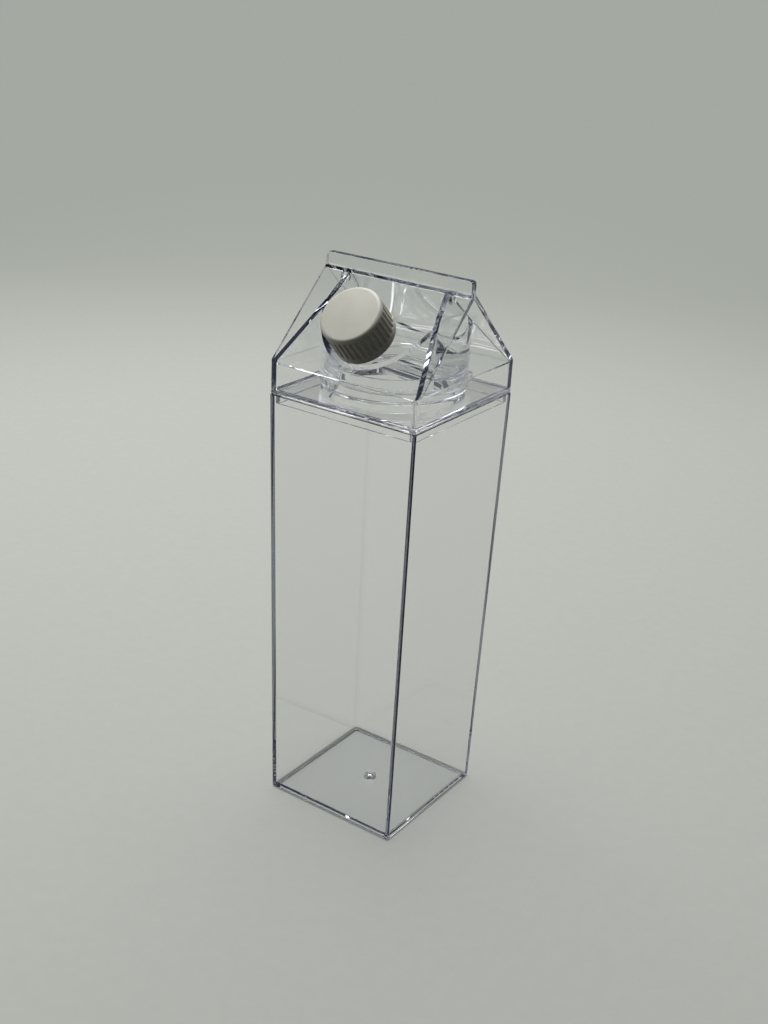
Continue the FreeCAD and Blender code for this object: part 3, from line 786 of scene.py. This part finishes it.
class BOTTLE_OT_head(Operator):
    """Build the gable head: roof, fin, pockets, collar, lug and spout"""
    bl_idname = "bottle.head"
    bl_label = "Head"

    def execute(self, context):
        settings = context.scene.bottle
        sizes = settings.head
        lines = RoofLines(sizes)
        head = as_object("gable_head", self.house(sizes, lines))
        combine("UNION", head, as_object("fin", self.fin(sizes, lines)),
                as_object("foot", self.fin_foot(sizes, lines)))

        hollow = self.hollow(sizes, lines)
        combine("DIFFERENCE", hollow, self.collar(sizes, settings.neck))
        pockets = [as_object("pocket", self.pocket(sizes, lines, axis)) for axis in (X, -X)]
        combine("DIFFERENCE", head, hollow, *pockets)
        combine("UNION", head, *[self.block(sizes, lines, axis) for axis in (X, -X)])

        spout, bore = self.spout(sizes, lines)
        combine("UNION", head, spout)
        combine("DIFFERENCE", head, bore)
        finish_piece(head, "head", clear_plastic("head_plastic", settings.finishes))
        return {"FINISHED"}

    def house(self, sizes, lines):
        """Skirt and roof in one block."""
        top, shortest = sizes.ridge + 0.3 * MM, 2 * MM
        house = convex(tube_sides(0, lines.half, 1, lines.half) + sides(Y, *lines.roof)
                       + level(lines.foot, -1) + level(top, 1))
        round_edges(house, sizes.corner, 6, upright)
        round_edges(house, sizes.edge, 2, lambda part: not upright(part)
                    and not level_edge(top)(part) and part.calc_length() > shortest)
        return house

    def fin(self, sizes, lines):
        """Upright fin along the ridge."""
        fin_half, reach = sizes.fin / 2, lines.half - sizes.fin_inset
        top = HEAD_HIGH[2]
        fin = convex(sides(X, (reach, 0), (reach, 1)) + sides(Y, (fin_half, 0), (fin_half, 1))
                     + level(sizes.ridge - 2 * SUNK, -1) + level(top, 1))
        round_edges(fin, sizes.fin_end, 6,
                    lambda part: level_edge(top)(part) and part.calc_length() < 2 * sizes.fin)
        round_edges(fin, sizes.fin_edge, 3,
                    lambda part: all(abs(abs(corner.co.y) - fin_half) < CLOSE
                                     for corner in part.verts)
                    and max(corner.co.z for corner in part.verts) > sizes.ridge)
        return fin

    def fin_foot(self, sizes, lines):
        """Slope that eases the fin into the roof."""
        fin_half, reach = sizes.fin / 2, lines.half - sizes.fin_inset - HAIR
        top, spread, overlap = sizes.ridge + sizes.fin_foot, 0.7 * sizes.fin_foot, 0.2 * MM
        return convex(sides(X, (reach, 0), (reach, 1)) + level(top + overlap, 1)
                      + sides(Y, (fin_half + spread, sizes.ridge - spread), (fin_half, top))
                      + level(sizes.ridge - spread - overlap, -1))

    def hollow(self, sizes, lines):
        """Space inside the walls: a room under sloping gables, a taller one between them."""
        low, above, shortest = lines.foot - PAST, lines.upper_gable[0][1] - PAST, 3 * MM
        rooms = []
        for name, line, foot in (("room", lines.inner_gable, low),
                                 ("tall_room", lines.inner_upper_gable, above)):
            room = convex(tube_sides(0, lines.room, 1, lines.room) + level(foot, -1))
            round_edges(room, sizes.inner_corner, 4, upright)
            cut_to(room, sides(Y, *lines.underside) + sides(X, *line))
            round_edges(room, sizes.inner_edge, 3,
                        lambda part: not level_edge(foot)(part) and not upright(part)
                        and part.calc_length() > shortest)
            rooms.append(as_object(name, room))
        return combine("UNION", *rooms)

    def pocket(self, sizes, lines, axis):
        """Space outside one gable wall."""
        past, low = lines.half + PAST, sizes.eaves - PAST
        pocket = convex(side(axis, *lines.gable, way=-1)
                        + side(axis, *lines.upper_gable, way=-1)
                        + side(axis, (past, 0), (past, 1)) + sides(Y, *lines.underside)
                        + sides(Y, (lines.room, 0), (lines.room, 1)) + level(low, -1))
        return round_edges(pocket, sizes.inner_edge, 3, lambda part: min(
            corner.co.dot(axis) for corner in part.verts) < lines.half - HAIR)

    def block(self, sizes, lines, axis):
        """Small block under the fin, where a pocket meets the ridge."""
        near, far = lines.upper_gable[1][0] - sizes.wall / 2, lines.upper_gable[0][0]
        half = sizes.fin / 2
        block = convex(side(-axis, (-near, 0), (-near, 1)) + side(axis, (far, 0), (far, 1))
                       + sides(Y, (half, 0), (half, 1)) + level(sizes.ridge - sizes.block, -1)
                       + level(sizes.ridge - sizes.wall / 2, 1))
        return as_object("block", round_edges(block, PLAIN, 2))

    def collar(self, sizes, neck):
        """Round collar with its thread and stop lug, up to past the ridge."""
        bore, top = sizes.collar - sizes.collar_wall, HEAD_HIGH[2]
        collar = as_object("collar", lathe(round_profile(
            [(bore, sizes.collar_foot), (sizes.collar, sizes.collar_foot),
             (sizes.collar, top), (bore, top)], [PLAIN, PLAIN, 0, 0]), LARGE_TURN))
        middle = sizes.collar - sizes.collar_wall / 2
        reach, half = sizes.collar + sizes.lug_depth, sizes.lug_width / 2
        lug = convex(side(X, (reach, 0), (reach, 1)) + side(-X, (-middle, 0), (-middle, 1))
                     + sides(Y, (half, 0), (half, 1)) + level(sizes.collar_foot, -1)
                     + level(sizes.collar_foot + sizes.lug_height, 1))
        round_edges(lug, PLAIN, 2, lambda part: max(
            corner.co.x for corner in part.verts) > middle + MM)
        bmesh.ops.rotate(lug, verts=lug.verts, matrix=Matrix.Rotation(math.radians(45), 3, "Z"))
        thread = screw_thread(bore, sizes.collar_foot + 1.9 * MM, pitch=neck.pitch, turns=1.1,
                              bead=sizes.bead, turn=math.radians(20))
        return combine("UNION", collar, as_object("lug", lug), thread)

    def spout(self, sizes, lines):
        """Spout with its thread, and the bore to cut through it and the roof."""
        bore, sunk = sizes.spout - sizes.spout_wall, -sizes.wall / 2
        tube = as_object("spout", lathe(round_profile(
            [(bore - PAST, sunk), (sizes.spout, sunk), (sizes.spout, sizes.spout_height),
             (bore - PAST, sizes.spout_height)], [0, 0, EASED, 0]), MIDDLE_TURN))
        thread = screw_thread(sizes.spout, 4.5 * MM, pitch=3 * MM, turns=1.5, bead=0.5 * MM)
        combine("UNION", tube, thread)
        opening = as_object("bore", lathe(
            [(0, -sizes.wall - PAST), (bore, -sizes.wall - PAST),
             (bore, sizes.spout_height + PAST), (0, sizes.spout_height + PAST)], MIDDLE_TURN))
        for item in (tube, opening):
            item.data.transform(lines.spout)
        return tube, opening


class BOTTLE_OT_cap(Operator):
    """Turn the cap and sink the grooves that leave its grip ribs"""
    bl_idname = "bottle.cap"
    bl_label = "Cap"

    def execute(self, context):
        settings = context.scene.bottle
        sizes = settings.cap
        top_radius = sizes.radius - sizes.taper
        rib_end, under_top = sizes.height - sizes.rib_end, sizes.height - sizes.top
        corners = [(0, sizes.height), (0, under_top),
                   (top_radius - sizes.wall, under_top),
                   (sizes.radius - sizes.wall, 0), (sizes.radius, 0)]
        rows, flats_to_a_rib, arc_steps = 36, 12, 8
        foot, head = sizes.band - sizes.fade, rib_end + sizes.fade / 2
        for row in range(rows + 1):
            z = foot + (head - foot) * row / rows
            corners.append((sizes.radius - sizes.taper * z / sizes.height, z))
        corners.append((top_radius, sizes.height))
        radii = [0, 0, 0.5 * MM, 0.2 * MM, 0.25 * MM] + [0] * (rows + 1) + [sizes.edge]
        cap = as_object("screw_cap", lathe(round_profile(corners, radii, arc_steps),
                                           flats_to_a_rib * sizes.ribs))
        material = cap_plastic("cap_plastic", settings.finishes)
        run_tree(cap, rib_tree(), ribs=float(sizes.ribs), depth=sizes.groove,
                 inside_radius=sizes.radius - sizes.wall, low=sizes.band,
                 high=rib_end, fade=sizes.fade, material=material)
        cap.data.transform(RoofLines(settings.head).spout @ Matrix.Translation(Z * sizes.gap))
        finish_piece(cap, "cap", material)
        return {"FINISHED"}


class BOTTLE_OT_stage(Operator):
    """Set the paper sweep, the lamps and the camera"""
    bl_idname = "bottle.stage"
    bl_label = "Stage"

    def execute(self, context):
        settings = context.scene.bottle.stage
        scene = context.scene
        scene.view_settings.view_transform = "Standard"
        # Light runs along inside the clear walls, so its paths may turn often.
        turns, cycles = 32, scene.cycles
        cycles.max_bounces = 40
        cycles.glossy_bounces = turns
        cycles.transmission_bounces = turns
        cycles.transparent_max_bounces = turns
        cycles.caustics_reflective = False
        cycles.caustics_refractive = False
        self.paper(settings)
        self.lamp("overhead_lamp", settings.overhead, size=1.3,
                  place=(-0.42, 0.36, 1.4), aim=(-0.1, 0.1, 0.1))
        self.lamp("side_lamp", settings.side, size=0.5, place=(-1.0, -0.5, 0.35), aim=(0, 0, 0.2))
        self.sky(scene, settings)
        self.camera(scene, settings)
        return {"FINISHED"}

    def paper(self, settings):
        """A floor that curves up behind the bottle."""
        radius, near, far, half, drop, steps = 0.35, -1.9, 0.85, 2.2, 0.2 * MM, 24
        profile = [(near, 0)]
        for step in range(steps + 1):
            angle = math.pi / 2 * step / steps
            profile.append((far + radius * math.sin(angle), radius * (1 - math.cos(angle))))
        mesh = bmesh.new()
        rows = [[mesh.verts.new((x, y, z - drop)) for x in (-half, half)] for y, z in profile]
        for low, high in zip(rows, rows[1:]):
            mesh.faces.new((low[0], low[1], high[1], high[0])).smooth = True
        bmesh.ops.rotate(mesh, verts=mesh.verts,
                         matrix=Matrix.Rotation(settings.azimuth, 3, "Z"))
        paper = as_object("paper", mesh)
        paper.data.materials.append(self.paper_finish(settings))

    def paper_finish(self, settings):
        """Pale paper that runs into the haze, and sends little light back to the bottle."""
        material, tree = new_material("paper")
        place = tree.wire("ShaderNodeTexCoord", output="Object")
        x, y, _ = tree.wires("ShaderNodeSeparateXYZ", {"Vector": place}).values()
        away = tree.math("SQRT", x * x + y * y).step(0.45, 1.15)
        base = Vector(settings.paper)
        shade = tree.ramp(tree.noise(place, 170.0, 2.0),
                          [(0.35, base * 0.99), (0.65, base * 1.01)])
        path = tree.wires("ShaderNodeLightPath")
        straight = straight_look(path)
        shade = tree.mix_colour(straight.larger(mirrored_look(path)), DIM_PAPER, shade)
        surface = tree.wire("ShaderNodeBsdfPrincipled",
                            values={"Base Color": shade, "Roughness": 0.9})
        haze = tree.wire("ShaderNodeEmission", values={"Color": (*settings.haze, 1)})
        mix = tree.mix_shader(away * straight, surface, haze)
        tree.node("ShaderNodeOutputMaterial", values={"Surface": mix})
        return material

    def lamp(self, name, power, size, place, aim):
        """A square lamp that faces a point."""
        light = bpy.data.lights.new(name, "AREA")
        light.energy, light.size = power, size
        item = bpy.data.objects.new(name, light)
        item.location = place
        item.rotation_euler = (Vector(place) - Vector(aim)).to_track_quat("Z", "Y").to_euler()
        bpy.context.scene.collection.objects.link(item)

    def sky(self, scene, settings):
        """Even light from all round, with a haze behind and a darker room to mirror."""
        world = bpy.data.worlds.new("sky")
        world.use_nodes = True
        tree = Tree(world.node_tree)
        path = tree.wires("ShaderNodeLightPath")
        dim = SKY_COLOUR * settings.sky
        shade = tree.mix_colour(mirrored_look(path), (*dim, 1), (*settings.room, 1))
        shade = tree.mix_colour(straight_look(path), shade, (*settings.haze, 1))
        light = tree.wire("ShaderNodeBackground", values={"Color": shade})
        tree.node("ShaderNodeOutputWorld", values={"Surface": light})
        scene.world = world

    def camera(self, scene, settings):
        """The camera, turned a little about its own view."""
        azimuth, elevation = settings.azimuth, settings.elevation
        back = Vector((math.sin(azimuth) * math.cos(elevation),
                       -math.cos(azimuth) * math.cos(elevation), math.sin(elevation)))
        right = Vector((math.cos(azimuth), math.sin(azimuth), 0))
        up = back.cross(right)
        level_view = Matrix((right, up, back)).transposed().to_4x4()
        lens = bpy.data.cameras.new("camera")
        lens.lens = settings.lens
        lens.clip_start = 0.01
        item = bpy.data.objects.new("camera", lens)
        item.matrix_world = (Matrix.Translation(CAMERA_AIM + back * settings.distance)
                             @ level_view @ Matrix.Rotation(settings.roll, 4, "Z"))
        scene.collection.objects.link(item)
        scene.camera = item


class BOTTLE_PT_panel(Panel):
    """The bottle's pieces and the stage"""
    bl_idname = "BOTTLE_PT_panel"
    bl_label = "Gable bottle"
    bl_space_type = "VIEW_3D"
    bl_region_type = "UI"
    bl_category = "Bottle"

    def draw(self, context):
        settings = context.scene.bottle
        for step, group in zip(STEPS, ("body", "neck", "head", "cap", "stage")):
            box = self.layout.box()
            box.operator(step.bl_idname)
            part = getattr(settings, group)
            for name in part.__annotations__:
                box.prop(part, name)
        box = self.layout.box()
        for name in settings.finishes.__annotations__:
            box.prop(settings.finishes, name)


STEPS = (BOTTLE_OT_body, BOTTLE_OT_neck, BOTTLE_OT_head, BOTTLE_OT_cap, BOTTLE_OT_stage)
CLASSES = (BodySizes, NeckSizes, HeadSizes, CapSizes, Finishes, StageSettings,
           BottleSettings) + STEPS + (BOTTLE_PT_panel,)


def register():
    for item in CLASSES:
        bpy.utils.register_class(item)
    bpy.types.Scene.bottle = PointerProperty(type=BottleSettings)


def unregister():
    del bpy.types.Scene.bottle
    for item in reversed(CLASSES):
        bpy.utils.unregister_class(item)


def main():
    register()
    for step in STEPS:
        group, name = step.bl_idname.split(".")
        getattr(getattr(bpy.ops, group), name)()


if __name__ == "__main__":
    main()
